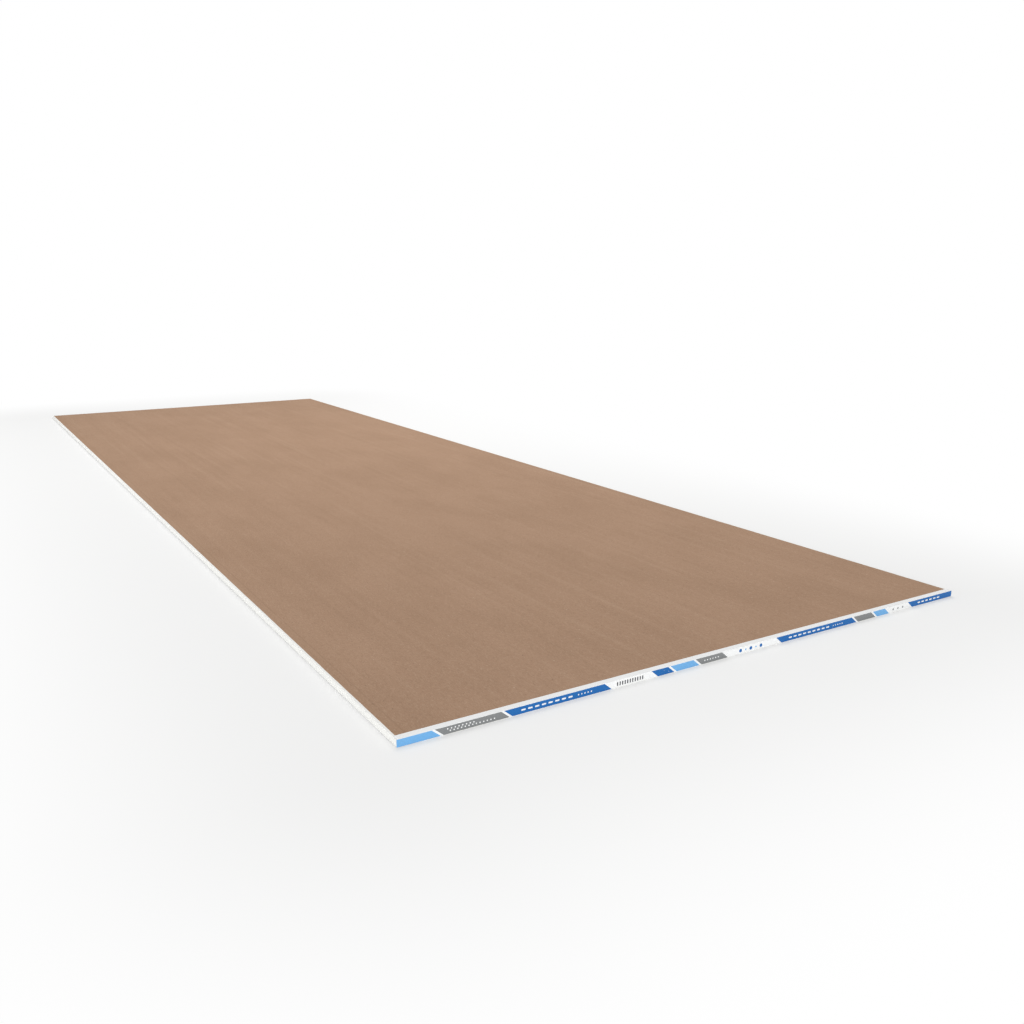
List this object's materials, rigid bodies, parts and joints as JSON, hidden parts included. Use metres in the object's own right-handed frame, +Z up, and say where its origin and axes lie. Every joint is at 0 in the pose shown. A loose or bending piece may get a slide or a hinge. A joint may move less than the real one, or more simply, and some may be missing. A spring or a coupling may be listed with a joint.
{
  "type": "drywall sheet",
  "caption": "Paper-faced gypsum wallboard with tapered long edges, brown back side up, and printed paper tape over its cut ends.",
  "frame": {"origin": "middle of the underside, on the face side of the sheet", "axes": "+X across the width, +Y along the length away from the near end, +Z up, out of the back side"},
  "size_m": [1.2192, 3.658, 0.0128],
  "materials": {
    "gypsum": "matt, set gypsum, finely porous",
    "face_paper": "matt ivory paper",
    "back_paper": "matt brown recycled kraft paper",
    "end_tape": "printed paper tape in slanted bands, slightly glossy"
  },
  "bodies": {
    "root": {"gypsum_core": "gypsum", "face_paper": "face_paper", "back_paper": "back_paper", "end_tape_near": "end_tape", "end_tape_far": "end_tape"}
  },
  "joints": []
}
